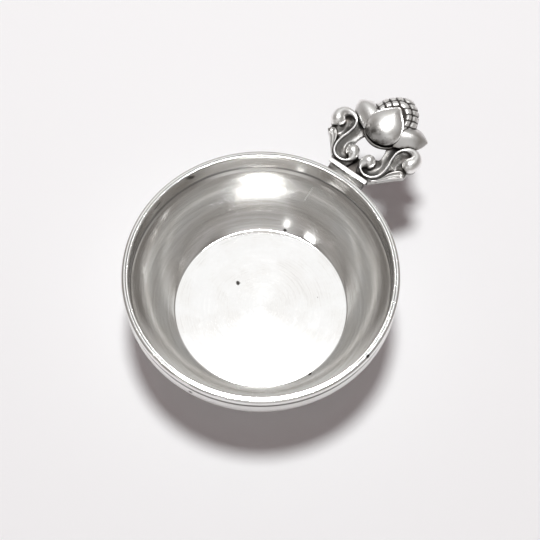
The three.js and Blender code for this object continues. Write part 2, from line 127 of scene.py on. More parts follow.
# Web between the two scrolls
WEB_HALF_WIDTH = 1.6
WEB_NOSE = 30.1
WEB_TOP = -0.7
WEB_NOSE_SHARE = 0.4

# Bud: an ovoid core, four sepals and a seeded head
BUD_CENTRE = 39.0
BUD_LEVEL = 0.1
BUD_LENGTH = 4.8
BUD_WIDTH = 4.3
BUD_HEIGHT = 2.8
SEPAL_THICKNESS = 0.65
SEPAL_LIFT = 0.2
SEPAL_BEAD = 0.15
SEPAL_BEAD_INSET = 0.98
SEPAL_MIDDLE = BUD_CENTRE - 1
UNDER_SEPAL_GROWTH = 0.35
KEEL_REACH = (37.5, 41.0)
KEEL_HALF_WIDTH = 2.2
KEEL_HEIGHT = 0.3
KEEL_SHARPNESS = 1.3
SEPAL_OUTLINE = [
    (34.25, 0.0), (34.65, -1.85), (35.4, -2.8), (36.3, -3.4), (37.4, -3.6), (38.6, -3.35),
    (39.8, -2.65), (41.1, -1.3), (42.25, 0.0), (41.1, 1.3), (39.8, 2.65), (38.6, 3.35),
    (37.4, 3.6), (36.3, 3.4), (35.4, 2.8), (34.65, 1.85),
]
SIDE_SEPAL_ROOT = (38.0, 1.9, 0.2)
SIDE_SEPAL_TIP = (40.65, 8.05, -0.1)
SIDE_SEPAL_HALF_WIDTH = 2.8
SIDE_SEPAL_HALF_HEIGHT = 1.75
SIDE_SEPAL_TAPER = 5.0
SIDE_SEPAL_DROOP = 4.0
SIDE_SEPAL_KEEL = 1.8
SIDE_SEPAL_ROUNDED_ROOT = 0.05
SEED_CENTRE = 39.6
SEED_LEVEL = 0.4
SEED_LENGTH = 6.25
SEED_BACK_LENGTH = 3.2
SEED_WIDTH = 4.65
SEED_HEIGHT = 1.75
SEED_POINT = 0.3
SEED_POINT_SPREAD = 0.35
SEED_PITCH = 1.36
SEED_EDGE_RUN = (0.8, 0.6)
SEED_RELIEF = 0.22
SEED_GROOVE = 0.25
SEED_GROOVE_SHADE = 0.5
# Painted shade: the next two values darken the seed head's underside and lowest row of seeds.
SEED_UNDERSIDE_PAINTED_SHADE = 0.42
SEED_PAINTED_SHADE_SPAN = (2, 30)
SEED_ROW_EDGES = (-58, -42, -2, 42, 58)

# Fineness of the cast forms
VOXEL = 0.09
LEAF_VOXEL = 0.054
CAST_SOFTENING = 3
CURVE_STEPS = 8
WIRE_STATIONS = 150
BEAD_STATIONS = 160
WIRE_SIDES = 24
SEED_STEPS_ROUND = 360
SEED_STEPS_UP = 140

# Camera, fitted to the rim, the floor's edge and the handle
VIEW_DISTANCE = 180.0
VIEW_ELEVATION = math.radians(64.3562)
VIEW_AZIMUTH = math.radians(-51.1475)
LENS = 67.23
SENSOR = 36.0
SHIFT = (0.0170, -0.0011)
CLIP_START = 0.01

# Table, in metres
TABLE_HALF = 4.0
TABLE_COLOUR = (0.885, 0.905, 0.91, 1.0)
TABLE_ROUGHNESS = 0.7

# Lamp and room: places by elevation and turn in degrees, the lamp's sizes in millimetres
LAMP_PLACE = (76.9, 0)
LAMP_DISTANCE = 650.0
LAMP_WIDTH = 145.0
LAMP_POWER = 3.43
ROOM_ON_TABLE = (0.41, 0.32, 0.33, 1.0)
ROOM = (0.42, 0.405, 0.395, 1.0)
ROOM_TOP = (0.40, 0.395, 0.39, 1.0)
ROOM_DARKENS = (50, 62)
NEAR = (0.85, 0.84, 0.83, 1.0)
NEAR_TURN = (138, 162)
NEAR_RISES = (24, 48)
NEAR_FALLS = (54, 62)
OVERHEAD = (0.98, 0.98, 0.97, 1.0)
OVERHEAD_BRIGHTENS = (54, 65)
OVERHEAD_ACROSS = (0.02, 0.09)
SIDES = (0.20, 0.187, 0.175, 1.0)
SIDES_TURN = (34, 50, 130, 150)
SIDES_LEVEL = 36
SIDES_REACH = (5, 13)
SCREEN = (0.62, 0.615, 0.60, 1.0)
SCREEN_TOP = (1.0, 1.0, 1.0, 1.0)
SCREEN_TURN = (22, 42)
SCREEN_FOOT = (12, 24)
SCREEN_BRIGHTENS = (42, 58)
GLOW = (1.01, 1.01, 1.01, 1.0)
GLOW_SPREAD = (6, 21)
WINDOW = (4.0, 4.0, 4.0, 1.0)
WINDOWS = [(26, -156, 0.03, 0.05), (28, -131, 0.08, 0.045), (17.5, -113, 0.07, 0.035)]


# Lines and outlines

def smooth_line(points, closed=False):
    """A centripetal Catmull-Rom line through the points, as a list of vectors."""
    knots = [Vector((*point, 0.0)) if len(point) == 2 else Vector(point) for point in points]
    count = len(knots)
    spans = count if closed else count - 1
    line = []
    for i in range(spans):
        if closed:
            a, b, c, d = (knots[(i + k) % count] for k in (-1, 0, 1, 2))
        else:
            b, c = knots[i], knots[i + 1]
            a = knots[i - 1] if i > 0 else 2 * b - c
            d = knots[i + 2] if i + 2 < count else 2 * c - b
        first, middle, last = (math.sqrt((q - p).length) for p, q in ((a, b), (b, c), (c, d)))
        leave = (first**2 * c - middle**2 * a
                 + (2 * first**2 + 3 * first * middle + middle**2) * b) / (3 * first * (first + middle))
        arrive = (last**2 * b - middle**2 * d
                  + (2 * last**2 + 3 * last * middle + middle**2) * c) / (3 * last * (last + middle))
        line += interpolate_bezier(b, leave, arrive, c, CURVE_STEPS + 1)[:-1]
    if not closed:
        line.append(knots[-1])
    return line


def evenly(line, count):
    """Points and distances at equal steps along a line."""
    places = np.array(line)
    along = np.concatenate([[0.0], np.cumsum(np.linalg.norm(np.diff(places, axis=0), axis=1))])
    wanted = np.linspace(0.0, along[-1], count)
    spaced = np.stack([np.interp(wanted, along, places[:, k]) for k in range(3)], axis=1)
    return [Vector(point) for point in spaced], wanted


def arc(centre_x, centre_y, radius, start, end, steps):
    angles = np.radians(np.linspace(start, end, steps + 1))
    return [(centre_x + radius * math.cos(a), centre_y + radius * math.sin(a)) for a in angles]


def step_between(low, high, value):
    share = np.clip((value - low) / (high - low), 0.0, 1.0)
    return share * share * (3.0 - 2.0 * share)


# Making and finishing meshes

def write_object(name, bm):
    mesh = bpy.data.meshes.new(name)
    bm.to_mesh(mesh)
    bm.free()
    made = bpy.data.objects.new(name, mesh)
    bpy.context.scene.collection.objects.link(made)
    return made


def with_modifier(bm, kind, others=(), **settings):
    """The shape after one modifier, as a new bmesh."""
    body = write_object("blank", bm)
    modifier = body.modifiers.new("shape", kind)
    for key, value in settings.items():
        setattr(modifier, key, value)
    result = bmesh.new()
    result.from_object(body, bpy.context.evaluated_depsgraph_get())
    for used in (body, *others):
        data = used.data
        bpy.data.objects.remove(used)
        bpy.data.meshes.remove(data)
    return result


def carved(bm, cutter, operation):
    tool = write_object("cutter", cutter)
    return with_modifier(bm, "BOOLEAN", [tool], object=tool, operation=operation, solver="EXACT")


def cast(bm):
    """The shape with the soft edges of a casting."""
    bm = with_modifier(bm, "REMESH", mode="VOXEL", voxel_size=VOXEL)
    soften(bm, CAST_SOFTENING)
    return bm


def soften(bm, rounds):
    for _ in range(rounds):
        bmesh.ops.smooth_vert(bm, verts=bm.verts, factor=0.5, use_axis_x=True, use_axis_y=True,
                              use_axis_z=True)


def joined(*shapes):
    mesh = bpy.data.meshes.new("joined")
    whole = bmesh.new()
    for shape in shapes:
        shape.to_mesh(mesh)
        shape.free()
        whole.from_mesh(mesh)
    bpy.data.meshes.remove(mesh)
    return whole


def mirrored(bm):
    other = bm.copy()
    bmesh.ops.scale(other, vec=(1, -1, 1), verts=other.verts)
    bmesh.ops.reverse_faces(other, faces=other.faces)
    return other


def raised(bm, level):
    bmesh.ops.translate(bm, vec=(0, 0, level), verts=bm.verts)
    return bm


def spun(profile):
    """A profile of radius and height turned about the Z axis."""
    bm = bmesh.new()
    line = [bm.verts.new((radius, 0, height)) for radius, height in profile]
    edges = [bm.edges.new(pair) for pair in zip(line, line[1:])]
    bmesh.ops.spin(bm, geom=line + edges, cent=(0, 0, 0), axis=(0, 0, 1), angle=2 * math.pi,
                   steps=ROUND_STEPS, use_merge=True)
    bmesh.ops.remove_doubles(bm, verts=bm.verts, dist=MERGE_DISTANCE)
    bmesh.ops.recalc_face_normals(bm, faces=bm.faces)
    return bm


def slab(outline, bottom, top):
    """A flat plate of a closed outline."""
    bm = bmesh.new()
    face = bm.faces.new([bm.verts.new((point.x, point.y, bottom)) for point in outline])
    lifted = bmesh.ops.extrude_face_region(bm, geom=[face])["geom"]
    upper = [v for v in lifted if isinstance(v, bmesh.types.BMVert)]
    bmesh.ops.translate(bm, vec=(0, 0, top - bottom), verts=upper)
    bmesh.ops.recalc_face_normals(bm, faces=bm.faces)
    return bm


def swept(centres, radii):
    """A round section of changing radius carried along a line."""
    bm = bmesh.new()
    ring = bmesh.ops.create_circle(bm, segments=WIRE_SIDES, radius=1.0)["verts"]
    edges = list(bm.edges)
    before = Matrix()
    for i, (centre, radius) in enumerate(zip(centres, radii)):
        if i:
            made = bmesh.ops.extrude_edge_only(bm, edges=edges)["geom"]
            ring = [v for v in made if isinstance(v, bmesh.types.BMVert)]
            edges = [e for e in made if isinstance(e, bmesh.types.BMEdge)]
        ahead = (centres[min(i + 1, len(centres) - 1)] - centres[max(i - 1, 0)]).normalized()
        across = Vector((-ahead.y, ahead.x, 0)).normalized()
        up = ahead.cross(across)
        place = Matrix((across, up, ahead)).transposed().to_4x4()
        place = Matrix.Translation(centre) @ place @ Matrix.Diagonal((radius, radius, radius, 1.0))
        bmesh.ops.transform(bm, matrix=place @ before.inverted(), verts=ring)
        before = place
    bmesh.ops.holes_fill(bm, edges=bm.edges, sides=WIRE_SIDES)
    bmesh.ops.recalc_face_normals(bm, faces=bm.faces)
    return bm


def ovoid(margin, columns=96, rows=64):
    bm = bmesh.new()
    bmesh.ops.create_uvsphere(bm, u_segments=columns, v_segments=rows, radius=1.0)
    size = (BUD_LENGTH + margin, BUD_WIDTH + margin, BUD_HEIGHT + margin)
    bmesh.ops.scale(bm, vec=size, verts=bm.verts)
    bmesh.ops.translate(bm, vec=(BUD_CENTRE, 0, BUD_LEVEL), verts=bm.verts)
    return bm


# Bowl, rim and bracket

COLLAR_FOOT = RIM_TOP - COLLAR_DEPTH
WALL_INSET = COLLAR_RADIUS - FLOOR_RADIUS
WALL_DROP = COLLAR_FOOT - WALL
WALL_LEAN = math.degrees(math.atan2(WALL_INSET, WALL_DROP))
WALL_RADIUS = math.hypot(WALL_INSET, WALL_DROP) / (2 * math.sin(math.radians(WALL_LEAN - WALL_START)))
WALL_CENTRE_X = COLLAR_RADIUS - WALL_RADIUS * math.cos(math.radians(WALL_START))
WALL_CENTRE_Z = COLLAR_FOOT + WALL_RADIUS * math.sin(math.radians(WALL_START))
OUTER_END = math.degrees(math.asin(WALL_CENTRE_Z / (WALL_RADIUS + WALL)))
LIP_RADIUS = COLLAR_RADIUS + LIP_THICKNESS
WIRE_SEAT = RIM_TOP - RIM_WIRE_HEIGHT


def make_bowl():
    outer_wall = arc(WALL_CENTRE_X, WALL_CENTRE_Z, WALL_RADIUS + WALL, -OUTER_END, -WALL_START, 40)
    outer_wall = [(radius + OUTSIDE_SWELL * float(step_between(*OUTSIDE_SWELL_SPAN, height)), height)
                  for radius, height in outer_wall]
    fillet_z = WALL + FLOOR_FILLET
    fillet_x = WALL_CENTRE_X + math.sqrt((WALL_RADIUS - FLOOR_FILLET) ** 2 - (WALL_CENTRE_Z - fillet_z) ** 2)
    meeting = math.degrees(math.atan2(WALL_CENTRE_Z - fillet_z, fillet_x - WALL_CENTRE_X))
    inner_wall = arc(WALL_CENTRE_X, WALL_CENTRE_Z, WALL_RADIUS, -WALL_START, -meeting, 48)
    inner_wall = [point for point in inner_wall if point[0] < COLLAR_RADIUS - COLLAR_STEP]
    fillet = arc(fillet_x, fillet_z, FLOOR_FILLET, -meeting, -90, 20)[1:]
    base_edge = outer_wall[0][0]
    base = [(0, 0), (base_edge * 0.5, 0)] + [(base_edge - inset, 0) for inset in BASE_EDGE_INSETS]
    collar_out = COLLAR_RADIUS + WALL + COLLAR_SWELL
    seat = WIRE_SEAT - SEAM
    rabbet = [(collar_out, COLLAR_FOOT + COLLAR_OUT_RISE), (collar_out, seat - EDGE_ROUND),
              (collar_out - EDGE_ROUND, seat), (LIP_RADIUS, seat)]
    lip_out = arc(LIP_RADIUS - EDGE_ROUND, RIM_TOP - EDGE_ROUND, EDGE_ROUND, 0, 90, 4)
    lip_in = arc(COLLAR_RADIUS + EDGE_ROUND, RIM_TOP - EDGE_ROUND, EDGE_ROUND, 90, 180, 4)
    bead = [(COLLAR_RADIUS - depth, RIM_TOP - drop) for depth, drop in LIP_BEAD]
    step = [(COLLAR_RADIUS - COLLAR_STEP * depth, COLLAR_FOOT + COLLAR_STEP * rise)
            for depth, rise in STEP_CURVE]
    floor = [(fillet_x * 0.8, WALL), (fillet_x * 0.4, WALL), (0, WALL)]
    out_and_over = base + outer_wall + rabbet + lip_out + lip_in
    bm = spun(out_and_over + bead + step + inner_wall + fillet + floor)
    outside = bm.verts.layers.float.new("outside")
    for vert in bm.verts:
        radius = math.hypot(vert.co.x, vert.co.y)
        reach = math.hypot(radius - WALL_CENTRE_X, vert.co.z - WALL_CENTRE_Z)
        under = vert.co.z < WALL / 2 or radius > LIP_RADIUS
        below_collar = vert.co.z < COLLAR_FOOT and vert.co.z > WALL * 1.5
        vert[outside] = float(under or (below_collar and reach > WALL_RADIUS + WALL / 2))
    return bm


def make_rim_wire():
    inner = LIP_RADIUS + SEAM
    below = RIM_WIRE_HEIGHT * RIM_WIDEST
    above = RIM_WIRE_HEIGHT - below
    start = -math.asin(below / above)
    bulge = RIM_RADIUS - inner
    lower = [(inner + bulge * math.cos(a), WIRE_SEAT + below + above * math.sin(a))
             for a in np.linspace(start, 0, 8)[:-1]]
    upper = []
    for a in np.linspace(0, math.pi / 2, 28):
        out, up = (max(side, 0.0) ** (2 / RIM_SQUARENESS) for side in (math.cos(a), math.sin(a)))
        upper.append((inner + bulge * out, WIRE_SEAT + below + above * up))
    upper[-1] = (inner, RIM_TOP)
    return spun([(inner, WIRE_SEAT)] + lower + upper + [(inner, WIRE_SEAT)])


def make_shoe():
    seat = RIM_RADIUS + SEAM
    reach = math.degrees(math.asin(SHOE_HALF_LENGTH / seat))
    rim_side = [Vector((x, y, 0)) for x, y in arc(0, 0, seat, reach, -reach, 24)]
    spread = np.linspace(-1.0, 1.0, 17)
    handle_side = [Vector((CAP_OUTER - SHOE_WAIST * 0.5 * (1 - s * s), SHOE_HALF_LENGTH * s, 0))
                   for s in spread]
    bm = slab(rim_side + handle_side, -SHOE_HEIGHT, 0)
    notch = bmesh.new()
    bmesh.ops.create_cube(notch, size=SHOE_CHAMFER * math.sqrt(2))
    bmesh.ops.rotate(notch, matrix=Matrix.Rotation(math.radians(45), 3, "Y"), verts=notch.verts)
    bmesh.ops.scale(notch, vec=(1, 4 * CAP_HALF_LENGTH, 1), verts=notch.verts)
    bmesh.ops.translate(notch, vec=(CAP_INNER - SHOE_CHAMFER, 0, 0), verts=notch.verts)
    bm = carved(bm, notch, "DIFFERENCE")
    soft = [e for e in bm.edges if e.calc_face_angle(0) > CORNER_ANGLE]
    bmesh.ops.bevel(bm, geom=soft, offset=SMALL_EDGE_ROUND, segments=3, profile=0.5, affect="EDGES",
                    material=-1)
    return raised(bm, RIM_TOP)


def make_cap():
    corners = [(CAP_INNER, -CAP_HALF_LENGTH), (CAP_OUTER, -CAP_HALF_LENGTH),
               (CAP_OUTER, CAP_HALF_LENGTH), (CAP_INNER, CAP_HALF_LENGTH)]
    bm = slab([Vector((x, y, 0)) for x, y in corners], SEAM, SEAM + CAP_THICKNESS)
    bmesh.ops.bevel(bm, geom=list(bm.edges), offset=CAP_EDGE_ROUND, segments=4, profile=0.5, affect="EDGES",
                    material=-1)
    return raised(bm, RIM_TOP)


# Scrolls

def ridge_points():
    last = len(RIDGE_LINE) - 1
    points = []
    for i, (x, y) in enumerate(RIDGE_LINE):
        rise = step_between(RIDGE_LEAVES_BALL, RIDGE_FULLY_UP, min(i, last - i))
        points.append((x, y, BALL_LEVEL + (RIDGE_LEVEL - BALL_LEVEL) * rise))
    return smooth_line(points)


RIDGE = ridge_points()
RIDGE_TREE = KDTree(len(RIDGE))
for number, point in enumerate(RIDGE):
    RIDGE_TREE.insert((point.x, point.y, 0), number)
RIDGE_TREE.balance()


def wire_radius(along, length):
    """Half thickness of the scroll wire: a ball at each end, whose tail runs out into a fine ridge."""
    ball, tail = OUTER_BALL if along < length / 2 else INNER_BALL
    past = min(along, length - along) - ball
    if past < 0:
        return math.sqrt(max(ball**2 - past**2, WIRE_TIP_RADIUS**2))
    return ball + (RIDGE_RADIUS - ball) * float(step_between(0.0, tail, past))


def make_scroll_wire():
    centres, along = evenly(RIDGE, WIRE_STATIONS)
    return raised(swept(centres, [wire_radius(a, along[-1]) for a in along]), RIM_TOP)


def flank_height(x, y):
    near = RIDGE_TREE.find((x, y, 0))[2]
    share = max(0.0, 1.0 - near / FLANK_WIDTH)
    return SCROLL_EDGE + (SCROLL_CREST - SCROLL_EDGE) * share**2


def make_scroll_plate():
    bm = slab(smooth_line(SCROLL_OUTLINE, closed=True), SCROLL_BACK, SCROLL_EDGE)
    cut = bmesh.ops.bisect_plane(bm, geom=[*bm.verts, *bm.edges, *bm.faces], plane_co=(FOOT_PLANE, 0, 0),
                                 plane_no=(1, 0, 0), clear_inner=True)["geom_cut"]
    bmesh.ops.edgenet_fill(bm, edges=[e for e in cut if isinstance(e, bmesh.types.BMEdge)])
    bm = with_modifier(bm, "REMESH", mode="VOXEL", voxel_size=VOXEL)
    for vert in bm.verts:
        share = (vert.co.z - SCROLL_BACK) / (SCROLL_EDGE - SCROLL_BACK)
        vert.co.z = SCROLL_BACK + share * (flank_height(vert.co.x, vert.co.y) - SCROLL_BACK)
    soften(bm, PLATE_SOFTENING)
    return raised(bm, RIM_TOP)


def make_leaf():
    bm = slab(smooth_line(LEAF_OUTLINE, closed=True), SCROLL_EDGE, LEAF_TOP)
    bm = with_modifier(bm, "REMESH", mode="VOXEL", voxel_size=LEAF_VOXEL)
    line, _ = evenly(smooth_line(LEAF_HOLLOW_LINE), LEAF_STATIONS)
    tree = KDTree(len(line))
    for i, point in enumerate(line):
        tree.insert(point, i)
    tree.balance()
    for vert in bm.verts:
        _, i, near = tree.find((vert.co.x, vert.co.y, 0))
        width = LEAF_HOLLOW_START + (LEAF_HOLLOW_END - LEAF_HOLLOW_START) * i / len(line)
        dip = width * math.sqrt(max(0.0, 1.0 - (near / width) ** 2))
        share = (vert.co.z - SCROLL_EDGE) / (LEAF_TOP - SCROLL_EDGE)
        vert.co.z -= share * LEAF_HOLLOW_DEPTH * dip
    soften(bm, CAST_SOFTENING)
    return raised(bm, RIM_TOP)


def make_web():
    nose = WEB_HALF_WIDTH * WEB_NOSE_SHARE
    corners = [(FOOT_PLANE, -WEB_HALF_WIDTH), (WEB_NOSE, -nose), (WEB_NOSE, nose),
               (FOOT_PLANE, WEB_HALF_WIDTH)]
    bm = slab([Vector((x, y, 0)) for x, y in corners], SCROLL_BACK, WEB_TOP)
    bmesh.ops.bevel(bm, geom=list(bm.edges), offset=SMALL_EDGE_ROUND, segments=3, profile=0.5, affect="EDGES",
                    material=-1)
    return raised(bm, RIM_TOP)


# Bud

def ovoid_height(x, y, margin):
    inside = 1 - ((x - BUD_CENTRE) / (BUD_LENGTH + margin)) ** 2 - (y / (BUD_WIDTH + margin)) ** 2
    return BUD_LEVEL + (BUD_HEIGHT + margin) * math.sqrt(max(inside, 0.0))


def grown(outline, distance):
    """A closed outline moved outwards."""
    count = len(outline)
    moved = []
    for i, point in enumerate(outline):
        ahead = (outline[(i + 1) % count] - outline[i - 1]).normalized()
        moved.append(point + Vector((ahead.y, -ahead.x, 0)) * distance)
    return moved


def make_sepal(growth):
    outline = grown(smooth_line(SEPAL_OUTLINE, closed=True), growth)
    dome = carved(ovoid(growth), slab(outline, BUD_LEVEL + SEPAL_LIFT, 2 * BUD_HEIGHT), "INTERSECT")
    dome = carved(dome, ovoid(SEAM - SEPAL_THICKNESS), "DIFFERENCE")
    middle = Vector((SEPAL_MIDDLE, 0, 0))
    edge = [middle + (point - middle) * SEPAL_BEAD_INSET for point in outline]
    edge.append(edge[0])
    for point in edge:
        point.z = max(ovoid_height(point.x, point.y, growth), BUD_LEVEL + SEPAL_LIFT + SEPAL_BEAD)
    bead, _ = evenly(edge, BEAD_STATIONS)
    whole = joined(dome, swept(bead, [SEPAL_BEAD] * len(bead)))
    return raised(cast(whole), RIM_TOP)


def make_top_sepal():
    """The upper sepal, with a soft keel that rises towards its point."""
    bm = make_sepal(0)
    for vert in bm.verts:
        rise = step_between(*KEEL_REACH, vert.co.x) * max(0.0, 1 - abs(vert.co.y) / KEEL_HALF_WIDTH)
        above = step_between(0.0, 1.0, vert.co.z - RIM_TOP - BUD_LEVEL)
        vert.co.z += float(KEEL_HEIGHT * rise**KEEL_SHARPNESS * above)
    return bm


def make_under_sepal():
    bm = make_sepal(UNDER_SEPAL_GROWTH)
    middle = RIM_TOP + BUD_LEVEL
    bmesh.ops.scale(bm, vec=(1, 1, -1), verts=bm.verts, space=Matrix.Translation((0, 0, -middle)))
    bmesh.ops.reverse_faces(bm, faces=bm.faces)
    return bm


def make_side_sepal():
    root, tip = Vector(SIDE_SEPAL_ROOT), Vector(SIDE_SEPAL_TIP)
    ahead = tip - root
    across = Vector((ahead.y, -ahead.x, 0)).normalized()
    bm = bmesh.new()
    bmesh.ops.create_uvsphere(bm, u_segments=64, v_segments=64, radius=1.0)
    for vert in bm.verts:
        share = (vert.co.z + 1) / 2
        ring = math.hypot(vert.co.x, vert.co.y)
        side = vert.co.x / ring if ring > 1e-6 else 0.0
        lift = math.copysign(1 - abs(side) ** SIDE_SEPAL_KEEL, vert.co.y) if ring > 1e-6 else 0.0
        open_end = min(1.0, share / SIDE_SEPAL_ROUNDED_ROOT)
        width = SIDE_SEPAL_HALF_WIDTH * (1 - share**SIDE_SEPAL_TAPER) * open_end
        height = SIDE_SEPAL_HALF_HEIGHT * (1 - share**SIDE_SEPAL_DROOP) * open_end
        vert.co = root + ahead * share + across * (width * side) + Vector((0, 0, height * lift))
    bmesh.ops.recalc_face_normals(bm, faces=bm.faces)
    return raised(cast(bm), RIM_TOP)


def seed_place(bearing, height, lift):
    point = SEED_POINT * math.exp(-((bearing / SEED_POINT_SPREAD) ** 2))
    length = SEED_LENGTH + point if math.cos(bearing) > 0 else SEED_BACK_LENGTH
    level = math.cos(height)
    return Vector((
        SEED_CENTRE + (length + lift) * level * math.cos(bearing),
        (SEED_WIDTH + lift) * level * math.sin(bearing),
        SEED_LEVEL + (SEED_HEIGHT + lift) * math.sin(height),
    ))


def pad(share):
    """How far a seed stands up at a share of its width: nothing in the grooves, all of it on the pad."""
    return float(step_between(0.0, SEED_GROOVE, min(share, 1 - share)))


def seed_lift(bearing, height):
    """Height of the seeds, in rows by level and in columns square to each side, mitred at the point."""
    degrees = math.degrees(height)
    bare = seed_place(bearing, height, 0.0)
    back, out = SEED_EDGE_RUN
    column = ((SEED_CENTRE + SEED_LENGTH + SEED_POINT - bare.x) * back + abs(bare.y) * out) / SEED_PITCH
    for low, high in zip(SEED_ROW_EDGES, SEED_ROW_EDGES[1:]):
        if low <= degrees < high:
            return SEED_RELIEF * pad(column - math.floor(column)) * pad((degrees - low) / (high - low))
    return 0.0


def make_seed_head():
    bm = bmesh.new()
    bmesh.ops.create_uvsphere(bm, u_segments=SEED_STEPS_ROUND, v_segments=SEED_STEPS_UP, radius=1.0)
    groove = bm.verts.layers.float.new("groove")
    for vert in bm.verts:
        bearing = math.atan2(vert.co.y, vert.co.x)
        height = math.asin(max(-1.0, min(1.0, vert.co.z)))
        lift = seed_lift(bearing, height)
        # Painted shade: seeds low on the head are darkened towards the underside; this mark is stored with
        # the grooves' darkening.
        edge = 1.0 - step_between(*SEED_PAINTED_SHADE_SPAN, math.degrees(height))
        in_groove = 1.0 - lift / SEED_RELIEF
        vert[groove] = max(SEED_GROOVE_SHADE * in_groove, float(SEED_UNDERSIDE_PAINTED_SHADE * edge))
        vert.co = seed_place(bearing, height, lift)
    return raised(bm, RIM_TOP)


# Darkening of the hollows, which also carries the painted shade of the seed head's underside

RAY_COUNT = 20
RAY_REACH = 2.2
RAY_START = 0.03
HOLLOW_SPREAD_ROUNDS = 2


def hollow_rays():
    """Directions spread over the half sphere about +Z, more of them near the middle."""
    turn = math.pi * (3 - math.sqrt(5))
    rays = []
    for i in range(RAY_COUNT):
        reach = math.sqrt((i + 0.5) / RAY_COUNT)
        level = math.sqrt(1 - reach**2)
        rays.append(Vector((reach * math.cos(i * turn), reach * math.sin(i * turn), level)))
    return rays


def mark_hollows(shapes):
    """Writes on every vertex how far its neighbours close it in, from 0 in the open to 1, and on the seed
    head no less than its grooves' darkening and painted underside shade.
    """
    places = []
    polygons = []
    for bm in shapes:
        bm.verts.ensure_lookup_table()
        bm.verts.index_update()
        first = len(places)
        places += [vert.co.copy() for vert in bm.verts]
        polygons += [[first + vert.index for vert in face.verts] for face in bm.faces]
    tree = BVHTree.FromPolygons(places, polygons)
    rays = hollow_rays()
    for bm in shapes:
        bm.normal_update()
        layer = bm.verts.layers.float.new("hollow_and_painted_shade")
        groove = bm.verts.layers.float.get("groove")
        for vert in bm.verts:
            turn = vert.normal.to_track_quat("Z", "Y").to_matrix()
            start = vert.co + vert.normal * RAY_START
            darkness = 0.0
            for ray in rays:
                hit = tree.ray_cast(start, turn @ ray, RAY_REACH)[3]
                if hit is not None:
                    darkness += 1.0 - hit / RAY_REACH
            vert[layer] = darkness / RAY_COUNT
            # The seed head's grooves and painted underside shade are kept in the same mark.
            if groove:
                vert[layer] = max(vert[layer], vert[groove])
        for _ in range(HOLLOW_SPREAD_ROUNDS):
            spread = [
                (vert[layer] + sum(edge.other_vert(vert)[layer] for edge in vert.link_edges))
                / (1 + len(vert.link_edges))
                for vert in bm.verts
            ]
            for vert, value in zip(bm.verts, spread):
                vert[layer] = value


# Shader nodes

class Tree:
    """A node tree that is filled by short calls."""

    def __init__(self, tree):
        self.tree = tree

    def put(self, kind, **values):
        node = self.tree.nodes.new(kind)
        for key, value in values.items():
            setattr(node, key, value)
        return node

    def feed(self, socket, value):
        if isinstance(value, bpy.types.NodeSocket):
            self.tree.links.new(value, socket)
        else:
            socket.default_value = value

    def math(self, operation, *values):
        node = self.put("ShaderNodeMath", operation=operation)
        for socket, value in zip(node.inputs, values):
            self.feed(socket, value)
        return node.outputs[0]

    def times(self, first, second):
        return self.math("MULTIPLY", first, second)

    def vector(self, operation, *values):
        node = self.put("ShaderNodeVectorMath", operation=operation)
        for socket, value in zip(node.inputs, values):
            self.feed(socket, value)
        return node.outputs["Value"] if operation in ("DOT_PRODUCT", "DISTANCE") else node.outputs[0]

    def ramp(self, value, low, high, low_out=0.0, high_out=1.0):
        node = self.put("ShaderNodeMapRange", interpolation_type="SMOOTHSTEP")
        for socket, given in zip(node.inputs, (value, low, high, low_out, high_out)):
            self.feed(socket, given)
        return node.outputs[0]

    def blend(self, share, first, second):
        node = self.put("ShaderNodeMix", data_type="RGBA")
        self.feed(node.inputs["Factor"], share)
        self.feed(node.inputs["A"], first)
        self.feed(node.inputs["B"], second)
        return node.outputs["Result"]

    def noise(self, vector, scale, detail=2.0, roughness=0.5):
        node = self.put("ShaderNodeTexNoise")
        self.feed(node.inputs["Vector"], vector)
        for name, value in (("Scale", scale), ("Detail", detail), ("Roughness", roughness)):
            self.feed(node.inputs[name], value)
        return node.outputs["Fac"]

    def join(self, x, y, z):
        node = self.put("ShaderNodeCombineXYZ")
        for socket, value in zip(node.inputs, (x, y, z)):
            self.feed(socket, value)
        return node.outputs[0]

    def split(self, vector):
        node = self.put("ShaderNodeSeparateXYZ")
        self.feed(node.inputs[0], vector)
        return node.outputs

    def place(self):
        """Object coordinates in millimetres."""
        node = self.put("ShaderNodeVectorMath", operation="SCALE")
        self.feed(node.inputs[0], self.put("ShaderNodeTexCoord").outputs["Object"])
        node.inputs["Scale"].default_value = 1 / MM
        return node.outputs[0]

    def group(self, tree, **values):
        node = self.put("ShaderNodeGroup")
        node.node_tree = tree
        for key, value in values.items():
            self.feed(node.inputs[key], value)
        return node.outputs


def new_group(name, inputs, outputs):
    group = bpy.data.node_groups.new(name, "ShaderNodeTree")
    for label, kind, value in inputs:
        socket = group.interface.new_socket(label, in_out="INPUT", socket_type=kind)
        socket.default_value = value
    for label, kind in outputs:
        group.interface.new_socket(label, in_out="OUTPUT", socket_type=kind)
    tree = Tree(group)
    return tree, tree.put("NodeGroupInput").outputs, tree.put("NodeGroupOutput").inputs


FLOAT = "NodeSocketFloat"
VECTOR = "NodeSocketVector"
COARSE_LINES = (0.2, 0.2, 1.7)
SCRATCH_TURNS = (0.4, 1.3, 2.1, 2.8)
SCRATCH_FINENESS = 22.0
SCRATCH_EDGES = (0.68, 0.74)
TARNISH_EDGES = (0.4, 0.68)
PITLESS_SHARE = 0.7


